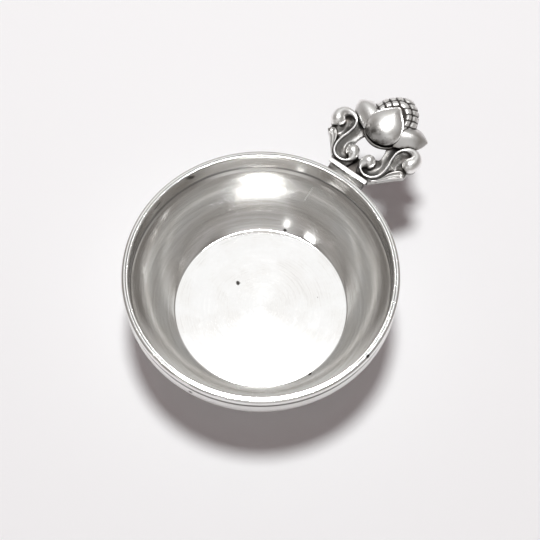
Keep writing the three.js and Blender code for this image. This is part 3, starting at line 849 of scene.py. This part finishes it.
def turning_lines():
    """Fine rings left by the lathe, broken into arcs."""
    tree, given, out = new_group("turning_lines", [("Lines per mm", FLOAT, 2.4), ("Arc", FLOAT, 1.2)],
                                 [("Height", FLOAT), ("Tone", FLOAT)])
    x, y, z = tree.split(tree.place())
    radius = tree.math("SQRT", tree.math("ADD", tree.times(x, x), tree.times(y, y)))
    angle = tree.times(tree.math("ARCTAN2", y, x), given["Arc"])
    lines = given["Lines per mm"]
    fine = tree.join(tree.times(radius, lines), tree.times(z, lines), angle)
    coarse = tree.vector("MULTIPLY", fine, COARSE_LINES)
    tree.feed(out["Height"], tree.noise(fine, 1.0, detail=3.0, roughness=0.7))
    tree.feed(out["Tone"], tree.noise(coarse, 1.0, detail=2.0))
    return tree.tree


def hair_scratches():
    """Fine straight scratches in several directions."""
    tree, given, out = new_group("hair_scratches", [("Density", FLOAT, 1.0), ("Length", FLOAT, 0.4)],
                                 [("Mask", FLOAT)])
    place = tree.place()
    masks = []
    for turn in SCRATCH_TURNS:
        mapping = tree.put("ShaderNodeMapping")
        mapping.inputs["Rotation"].default_value = (0.3 * turn, 0.2, turn)
        tree.feed(mapping.inputs["Vector"], place)
        x, y, z = tree.split(mapping.outputs[0])
        line = tree.join(tree.times(x, given["Length"]), tree.times(y, SCRATCH_FINENESS), z)
        strength = tree.noise(line, given["Density"], detail=1.0)
        masks.append(tree.ramp(strength, *SCRATCH_EDGES))
    while len(masks) > 1:
        masks.append(tree.math("MAXIMUM", masks.pop(0), masks.pop(0)))
    tree.feed(out["Mask"], masks[0])
    return tree.tree


def cloudy_tarnish():
    """Soft patches of tarnish."""
    tree, given, out = new_group("cloudy_tarnish", [("Size mm", FLOAT, 6.0)], [("Mask", FLOAT)])
    scale = tree.math("DIVIDE", 1.0, given["Size mm"])
    clouds = tree.noise(tree.place(), scale, detail=5.0, roughness=0.6)
    tree.feed(out["Mask"], tree.ramp(clouds, *TARNISH_EDGES))
    return tree.tree


def small_pits():
    """Sparse dark specks."""
    tree, given, out = new_group("small_pits", [("Spacing mm", FLOAT, 3.0), ("Radius mm", FLOAT, 0.12)],
                                 [("Mask", FLOAT)])
    cells = tree.put("ShaderNodeTexVoronoi")
    tree.feed(cells.inputs["Vector"], tree.place())
    tree.feed(cells.inputs["Scale"], tree.math("DIVIDE", 1.0, given["Spacing mm"]))
    chance = tree.split(cells.outputs["Color"])[0]
    reach = tree.math("DIVIDE", given["Radius mm"], given["Spacing mm"])
    dot = tree.ramp(cells.outputs["Distance"], tree.times(reach, 0.5), reach, 1.0, 0.0)
    tree.feed(out["Mask"], tree.times(dot, tree.math("GREATER_THAN", chance, PITLESS_SHARE)))
    return tree.tree


def worn_spot():
    """A small ragged spot."""
    tree, given, out = new_group("worn_spot", [("Centre", VECTOR, (0, 0, 0)), ("Radius mm", FLOAT, 0.3)],
                                 [("Mask", FLOAT)])
    place = tree.place()
    ragged = tree.times(tree.math("SUBTRACT", tree.noise(place, 4.0), 0.5), given["Radius mm"])
    off = tree.math("ADD", tree.vector("DISTANCE", place, given["Centre"]), ragged)
    tree.feed(out["Mask"], tree.ramp(off, tree.times(given["Radius mm"], 0.5), given["Radius mm"],
                                     1.0, 0.0))
    return tree.tree


def worn_line():
    """A ragged mark from one point to another."""
    tree, given, out = new_group(
        "worn_line",
        [("Start", VECTOR, (0, 0, 0)), ("End", VECTOR, (1, 0, 0)), ("Half width mm", FLOAT, 0.1)],
        [("Mask", FLOAT)])
    place = tree.place()
    run = tree.vector("SUBTRACT", given["End"], given["Start"])
    reach = tree.vector("DOT_PRODUCT", tree.vector("SUBTRACT", place, given["Start"]), run)
    share = tree.math("DIVIDE", reach, tree.vector("DOT_PRODUCT", run, run))
    share = tree.math("MINIMUM", tree.math("MAXIMUM", share, 0.0), 1.0)
    nearest = tree.vector("ADD", given["Start"], tree.vector("MULTIPLY", run, share))
    half = given["Half width mm"]
    ragged = tree.times(tree.math("SUBTRACT", tree.noise(place, 3.0), 0.5), half)
    off = tree.math("ADD", tree.vector("DISTANCE", place, nearest), ragged)
    tree.feed(out["Mask"], tree.ramp(off, tree.times(half, 0.4), half, 1.0, 0.0))
    return tree.tree


TURNING = turning_lines()
SCRATCHES = hair_scratches()
TARNISH = cloudy_tarnish()
PITS = small_pits()
SPOT = worn_spot()
MARK = worn_line()

# Wear on the bowl and the rim, by place in millimetres
DARK_SPOTS = [
    ((0.94, 6.47, 0.9), 0.52), ((15.71, 6.46, 1.2), 0.4), ((-5.14, -15.93, 1.0), 0.42),
    ((-24.5, -4.2, 13.6), 0.45), ((-1.29, -24.64, 17.0), 0.42),
]
STAINS = [
    ((6.61, 22.86, 16.2), (7.5, 22.59, 15.4), 0.6), ((-0.4, 23.8, 15.28), (-1.94, 23.72, 14.95), 0.3),
]
SCORES = [((22.44, 5.17, 10.3), (21.78, 5.51, 8.8), 0.09), ((21.78, 5.51, 8.8), (20.78, 5.75, 7.0), 0.09)]
STAIN_DEPTH = 0.85
SCORE_ROUGHER = 0.3

BRIGHT = (0.925, 0.922, 0.914, 1.0)
TONED = (0.82, 0.812, 0.80, 1.0)
# Dimmer silver of the leaves, also used as painted shade on the right side sepal.
DIM_AND_PAINTED_SHADE = (0.64, 0.632, 0.62, 1.0)
DULL = (0.52, 0.515, 0.505, 1.0)
# Near-black, painted shade for the parts that lie under the bud's top sepal.
PAINTED_SHADE_GREY = (0.20, 0.195, 0.19, 1.0)
WARM = (0.74, 0.68, 0.60, 1.0)
# Dark oxide, also used as the colour of painted shade.
OXIDE_AND_PAINTED_SHADE = (0.06, 0.054, 0.05, 1.0)
STREAK = (0.73, 0.72, 0.70, 1.0)
STREAK_DEPTH = 0.3
FINE_STREAK_DEPTH = 0.5
FLOOR_LEVELS = (1.0, 1.6)
FLOOR_ROUGH = (0.04, 0.07)
FLOOR_RELIEF = 0.06
FLOOR_MARK_DEPTH = 0.6
TURNING_RELIEF = 0.006
INSIDE_ROUGH = (0.08, 0.13)
OUTSIDE_ROUGHER = 0.21
BRUSHED_ROUGHER = 0.03
BRUSHED_LEVELS = (4.0, 7.0)
COLLAR_LINE_DEPTH = 0.65
COLLAR_LINE_REACH = (0.06, 0.2)
SEAM_LINE_DEPTH = 0.7
SEAM_LINE_REACH = (0.25, 0.6)
BOWL_TARNISH = 0.15
BOWL_SCRATCH_ROUGHER = 0.03
BOWL_SCRATCH_DEPTH = 0.2
STREAK_EDGES = (0.35, 0.65)
FINE_STREAK_EDGES = (0.4, 0.62)
FLOOR_MARK_EDGES = (0.45, 0.65)
ROUGH_EDGES = (0.3, 0.7)
SHEEN_STRETCH = 0.4
SHEEN_TURN = 0.25
CAST_TARNISH = 0.2
CAST_TARNISH_SHADE = 0.12
CAST_TARNISH_SIZE = 1.6
CAST_SCRATCH_DENSITY = 1.4
CAST_SCRATCH = 0.1
CAST_GRAIN = 2.6
CAST_RELIEF = 0.02
ROOT_SHADE = 0.3
ROOT_SPAN = (34.5, 38.2)


def new_material(name):
    material = bpy.data.materials.new(name)
    material.use_nodes = True
    tree = Tree(material.node_tree)
    shader = material.node_tree.nodes["Principled BSDF"]
    shader.inputs["Metallic"].default_value = 1.0
    return material, tree, shader


def bump(tree, shader, height, distance):
    node = tree.put("ShaderNodeBump")
    node.inputs["Distance"].default_value = distance * MM
    node.inputs["Strength"].default_value = 1.0
    tree.feed(node.inputs["Height"], height)
    tree.feed(shader.inputs["Normal"], node.outputs[0])


def turned_silver(name):
    """Spun silver, bright inside and duller outside, with a sheen drawn out across the lathe's lines."""
    material, tree, shader = new_material(name)
    outside = tree.put("ShaderNodeAttribute", attribute_name="outside").outputs["Fac"]
    inside = tree.math("SUBTRACT", 1.0, outside)
    lines = tree.group(TURNING)
    scratches = tree.group(SCRATCHES)["Mask"]
    tarnish = tree.group(TARNISH)["Mask"]
    pits = tree.group(PITS)["Mask"]
    height = tree.split(tree.place())[2]
    floor = tree.times(tree.ramp(height, *FLOOR_LEVELS, 1.0, 0.0), inside)
    wall = tree.math("SUBTRACT", 1.0, floor)
    streaks = tree.times(tree.ramp(lines["Tone"], *STREAK_EDGES), wall)
    colour = tree.blend(tree.times(streaks, STREAK_DEPTH), BRIGHT, STREAK)
    fine = tree.times(tree.ramp(lines["Height"], *FINE_STREAK_EDGES), wall)
    colour = tree.blend(tree.times(fine, FINE_STREAK_DEPTH), colour, STREAK)
    colour = tree.blend(tree.times(tarnish, BOWL_TARNISH), colour, WARM)
    arcs = tree.times(tree.ramp(lines["Height"], *FLOOR_MARK_EDGES), tree.times(tarnish, floor))
    colour = tree.blend(tree.times(arcs, FLOOR_MARK_DEPTH), colour, STREAK)
    colour = tree.blend(pits, colour, OXIDE_AND_PAINTED_SHADE)
    # Painted shade: a dark line along the crease at the collar's foot, inside the bowl.
    from_foot = tree.math("ABSOLUTE", tree.math("SUBTRACT", height, COLLAR_FOOT + COLLAR_STEP * 0.5))
    foot_line = tree.ramp(from_foot, *COLLAR_LINE_REACH, COLLAR_LINE_DEPTH, 0.0)
    colour = tree.blend(tree.times(foot_line, inside), colour, OXIDE_AND_PAINTED_SHADE)
    from_seam = tree.math("ABSOLUTE", tree.math("SUBTRACT", height, WIRE_SEAT))
    seam_line = tree.ramp(from_seam, *SEAM_LINE_REACH, SEAM_LINE_DEPTH, 0.0)
    colour = tree.blend(tree.times(seam_line, outside), colour, OXIDE_AND_PAINTED_SHADE)
    for centre, radius in DARK_SPOTS:
        spot = tree.group(SPOT, **{"Centre": centre, "Radius mm": radius})["Mask"]
        colour = tree.blend(spot, colour, OXIDE_AND_PAINTED_SHADE)
    for start, end, half_width in STAINS:
        mark = tree.group(MARK, **{"Start": start, "End": end, "Half width mm": half_width})["Mask"]
        colour = tree.blend(tree.times(mark, STAIN_DEPTH), colour, OXIDE_AND_PAINTED_SHADE)
    tree.feed(shader.inputs["Base Color"], colour)
    rough = tree.ramp(lines["Tone"], *ROUGH_EDGES, *INSIDE_ROUGH)
    satin = tree.ramp(lines["Height"], *ROUGH_EDGES, *FLOOR_ROUGH)
    rough = tree.math("ADD", rough, tree.ramp(height, *BRUSHED_LEVELS, BRUSHED_ROUGHER, 0.0))
    rough = tree.math("ADD", tree.times(rough, wall), tree.times(satin, floor))
    rough = tree.math("ADD", rough, tree.times(outside, OUTSIDE_ROUGHER))
    rough = tree.math("ADD", rough, tree.times(scratches, BOWL_SCRATCH_ROUGHER))
    for start, end, half_width in SCORES:
        mark = tree.group(MARK, **{"Start": start, "End": end, "Half width mm": half_width})["Mask"]
        rough = tree.math("ADD", rough, tree.times(mark, SCORE_ROUGHER))
    tree.feed(shader.inputs["Roughness"], rough)
    shader.inputs["Anisotropic"].default_value = SHEEN_STRETCH
    shader.inputs["Anisotropic Rotation"].default_value = SHEEN_TURN
    tree.feed(shader.inputs["Tangent"], tree.vector("CROSS_PRODUCT", (0, 0, 1), tree.place()))
    relief = tree.math("SUBTRACT", lines["Height"], tree.times(scratches, BOWL_SCRATCH_DEPTH))
    relief = tree.times(relief, tree.ramp(floor, 0.0, 1.0, 1.0, FLOOR_RELIEF))
    bump(tree, shader, relief, TURNING_RELIEF)
    return material


def cast_silver(name, face, darkening_range, rough, root_shade=0.0):
    """Silver of the handle, dark in the hollows and rubbed bright on the high places; its darkening mark also
    carries painted shade, and root_shade darkens it towards the root.
    """
    material, tree, shader = new_material(name)
    hollow_and_painted_shade = tree.put("ShaderNodeAttribute", attribute_name="hollow_and_painted_shade").outputs["Fac"]
    tarnish = tree.group(TARNISH, **{"Size mm": CAST_TARNISH_SIZE})["Mask"]
    scratches = tree.group(SCRATCHES, Density=CAST_SCRATCH_DENSITY)["Mask"]
    root = tree.ramp(tree.split(tree.place())[0], *ROOT_SPAN, root_shade, 0.0)
    # Hollows, the painted shade carried with them, the root's darkening and tarnish add up here.
    darkness = tree.math("ADD", tree.math("ADD", hollow_and_painted_shade, root), tree.times(tarnish, CAST_TARNISH_SHADE))
    dark = tree.ramp(darkness, *darkening_range)
    colour = tree.blend(tree.times(tarnish, CAST_TARNISH), face, WARM)
    tree.feed(shader.inputs["Base Color"], tree.blend(dark, colour, OXIDE_AND_PAINTED_SHADE))
    rough = tree.ramp(dark, 0.0, 1.0, *rough)
    tree.feed(shader.inputs["Roughness"], tree.math("ADD", rough, tree.times(scratches, CAST_SCRATCH)))
    uneven = tree.noise(tree.place(), CAST_GRAIN, detail=5.0, roughness=0.65)
    bump(tree, shader, tree.math("SUBTRACT", uneven, tree.times(scratches, CAST_SCRATCH)), CAST_RELIEF)
    return material


# Assembly

def finish(name, bm, material, node):
    bmesh.ops.scale(bm, vec=(MM, MM, MM), verts=bm.verts)
    made = write_object(name, bm)
    made.data.materials.append(material)
    made.data.shade_smooth()
    made.data.set_sharp_from_angle(angle=SMOOTH_ANGLE)
    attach(made, "root")
    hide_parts(node)
    return made


turned = turned_silver("turned_silver")
polished = cast_silver("rubbed_silver", BRIGHT, darkening_range=(0.16, 0.5), rough=(0.30, 0.45))
toned = cast_silver("toned_silver", TONED, darkening_range=(0.14, 0.45), rough=(0.28, 0.40),
                    root_shade=ROOT_SHADE)
dim_and_painted_shade_material = cast_silver("dim_and_painted_shade_silver", DIM_AND_PAINTED_SHADE, darkening_range=(0.1, 0.42), rough=(0.31, 0.44))
# Darkened silver for the plates and web, and painted shade on the bracket's shoe.
oxidised_and_painted_shade = cast_silver("darkened_silver", DULL, darkening_range=(-0.05, 0.36), rough=(0.30, 0.42))
painted_shade_material = cast_silver("painted_shade_silver", PAINTED_SHADE_GREY, darkening_range=(-0.05, 0.36), rough=(0.34, 0.42))

finish("spun_bowl", make_bowl(), turned, "bowl")
finish("half_round_rim", make_rim_wire(), turned, "rim_wire")

handle = {
    # Painted shade: the shoe under the cap takes the darkened silver.
    "bracket_shoe": (make_shoe(), oxidised_and_painted_shade),
    "bracket_cap": (make_cap(), polished),
    "root_web": (make_web(), oxidised_and_painted_shade),
    # Painted shade: the bud's core and under sepal, which lie in shade under the top sepal, are near-black.
    "bud_core": (raised(ovoid(-SEPAL_THICKNESS), RIM_TOP), painted_shade_material),
    "under_sepal": (make_under_sepal(), painted_shade_material),
    "top_sepal": (make_top_sepal(), toned),
    "seed_head": (make_seed_head(), polished),
}
for label, shape, material in (
    ("scroll_plate", make_scroll_plate(), oxidised_and_painted_shade),
    ("scroll_wire", make_scroll_wire(), polished),
    ("scroll_leaf", make_leaf(), dim_and_painted_shade_material),
    ("side_sepal", make_side_sepal(), polished),
):
    handle[f"right_{label}"] = (mirrored(shape), material)
    handle[f"left_{label}"] = (shape, material)
# Painted shade: the right side sepal, a mirror copy of the left, is made dimmer than the left.
handle["right_side_sepal"] = (handle["right_side_sepal"][0], dim_and_painted_shade_material)

mark_hollows([shape for shape, _ in handle.values()])
for node, (shape, material) in handle.items():
    finish(f"{node}_dressed", shape, material, node)


# Table, light and camera

def make_table():
    bm = bmesh.new()
    bmesh.ops.create_grid(bm, x_segments=1, y_segments=1, size=TABLE_HALF)
    floor = write_object("table", bm)
    material = bpy.data.materials.new("white_table")
    material.use_nodes = True
    shader = material.node_tree.nodes["Principled BSDF"]
    shader.inputs["Base Color"].default_value = TABLE_COLOUR
    shader.inputs["Roughness"].default_value = TABLE_ROUGHNESS
    shader.inputs["Specular IOR Level"].default_value = 0.0
    floor.data.materials.append(material)


def soft_box():
    """Share of a soft rectangular light seen in a direction."""
    tree, given, out = new_group(
        "soft_box",
        [("Centre", VECTOR, (0, 0, 1)), ("Across", VECTOR, (1, 0, 0)), ("Up", VECTOR, (0, 1, 0)),
         ("Half width", FLOAT, 0.3), ("Half height", FLOAT, 0.3), ("Soft", FLOAT, 0.02)],
        [("Mask", FLOAT)])
    direction = tree.put("ShaderNodeTexCoord").outputs["Generated"]
    facing = tree.vector("DOT_PRODUCT", direction, given["Centre"])
    mask = tree.math("GREATER_THAN", facing, 0.02)
    for axis, half in (("Across", "Half width"), ("Up", "Half height")):
        offset = tree.math("DIVIDE", tree.vector("DOT_PRODUCT", direction, given[axis]), facing)
        edge = tree.math("SUBTRACT", tree.math("ABSOLUTE", offset), given[half])
        inner = tree.times(given["Soft"], -1.0)
        mask = tree.times(mask, tree.ramp(edge, inner, given["Soft"], 1.0, 0.0))
    tree.feed(out["Mask"], mask)
    return tree.tree


FAR = Vector((-math.sin(VIEW_AZIMUTH), math.cos(VIEW_AZIMUTH), 0))
RIGHT = Vector((math.cos(VIEW_AZIMUTH), math.sin(VIEW_AZIMUTH), 0))


def towards(elevation, turn):
    """A direction by its height and its turn to the right of the far side, and the two across it."""
    level = FAR * math.cos(math.radians(turn)) + RIGHT * math.sin(math.radians(turn))
    centre = level * math.cos(math.radians(elevation)) + Vector((0, 0, math.sin(math.radians(elevation))))
    across = Vector((0, 0, 1)).cross(level).normalized()
    return {"Centre": centre, "Across": across, "Up": centre.cross(across)}


def make_world():
    """A dim room, paler near the viewer and overhead, with a tall screen, a lamp's glow and windows."""
    world = bpy.data.worlds.new("studio")
    bpy.context.scene.world = world
    world.use_nodes = True
    tree = Tree(world.node_tree)
    direction = tree.put("ShaderNodeTexCoord").outputs["Generated"]
    level = tree.math("DEGREES", tree.math("ARCSINE", tree.split(direction)[2]))
    across = tree.vector("DOT_PRODUCT", direction, RIGHT)
    ahead = tree.vector("DOT_PRODUCT", direction, FAR)
    turn = tree.math("DEGREES", tree.math("ABSOLUTE", tree.math("ARCTAN2", across, ahead)))
    first, full, fading, last = SIDES_TURN
    off_level = tree.math("ABSOLUTE", tree.math("SUBTRACT", level, SIDES_LEVEL))
    sides = tree.times(tree.ramp(turn, first, full), tree.ramp(turn, fading, last, 1.0, 0.0))
    sides = tree.times(sides, tree.ramp(off_level, *SIDES_REACH, 1.0, 0.0))
    colour = tree.blend(tree.ramp(level, *ROOM_DARKENS), ROOM, ROOM_TOP)
    colour = tree.blend(sides, colour, SIDES)
    near = tree.times(tree.ramp(level, *NEAR_RISES), tree.ramp(level, *NEAR_FALLS, 1.0, 0.0))
    near = tree.times(near, tree.ramp(turn, *NEAR_TURN))
    colour = tree.blend(near, colour, NEAR)
    overhead = tree.ramp(tree.math("ABSOLUTE", across), *OVERHEAD_ACROSS, 1.0, 0.0)
    overhead = tree.times(overhead, tree.ramp(level, *OVERHEAD_BRIGHTENS))
    colour = tree.blend(overhead, colour, OVERHEAD)
    screen = tree.times(tree.ramp(turn, *SCREEN_TURN, 1.0, 0.0), tree.ramp(level, *SCREEN_FOOT))
    screen_tone = tree.blend(tree.ramp(level, *SCREEN_BRIGHTENS), SCREEN, SCREEN_TOP)
    colour = tree.blend(screen, colour, screen_tone)
    facing = tree.vector("DOT_PRODUCT", direction, towards(*LAMP_PLACE)["Centre"])
    off_lamp = tree.math("DEGREES", tree.math("ARCCOSINE", tree.math("MINIMUM", facing, 1.0)))
    colour = tree.blend(tree.ramp(off_lamp, *GLOW_SPREAD, 1.0, 0.0), colour, GLOW)
    box = soft_box()
    for elevation, bearing, half_width, half_height in WINDOWS:
        size = {"Half width": half_width, "Half height": half_height}
        window = tree.group(box, **towards(elevation, bearing), **size)["Mask"]
        colour = tree.blend(window, colour, WINDOW)
    background = world.node_tree.nodes["Background"]
    onto_table = tree.put("ShaderNodeLightPath").outputs["Is Diffuse Ray"]
    dimmed = tree.vector("MULTIPLY", colour, ROOM_ON_TABLE[:3])
    tree.feed(background.inputs["Color"], tree.blend(onto_table, colour, dimmed))
    background.inputs["Strength"].default_value = 1.0


def make_lamp():
    """A large soft lamp, high at the far side."""
    data = bpy.data.lights.new("lamp", "AREA")
    data.shape = "DISK"
    data.size = LAMP_WIDTH * MM
    data.energy = LAMP_POWER
    lamp = bpy.data.objects.new("lamp", data)
    bpy.context.scene.collection.objects.link(lamp)
    direction = towards(*LAMP_PLACE)["Centre"]
    lamp.location = direction * LAMP_DISTANCE * MM
    lamp.rotation_euler = direction.to_track_quat("Z", "Y").to_euler()


def make_camera():
    data = bpy.data.cameras.new("camera")
    data.lens = LENS
    data.sensor_width = SENSOR
    data.shift_x, data.shift_y = SHIFT
    data.clip_start = CLIP_START
    camera = bpy.data.objects.new("camera", data)
    bpy.context.scene.collection.objects.link(camera)
    back = -FAR * math.cos(VIEW_ELEVATION) + Vector((0, 0, math.sin(VIEW_ELEVATION)))
    turn = Matrix((RIGHT, back.cross(RIGHT), back)).transposed().to_4x4()
    camera.matrix_world = Matrix.Translation((Vector((0, 0, RIM_TOP)) + back * VIEW_DISTANCE) * MM) @ turn
    bpy.context.scene.camera = camera


make_table()
make_world()
make_lamp()
make_camera()
bpy.context.scene.view_settings.view_transform = "Standard"
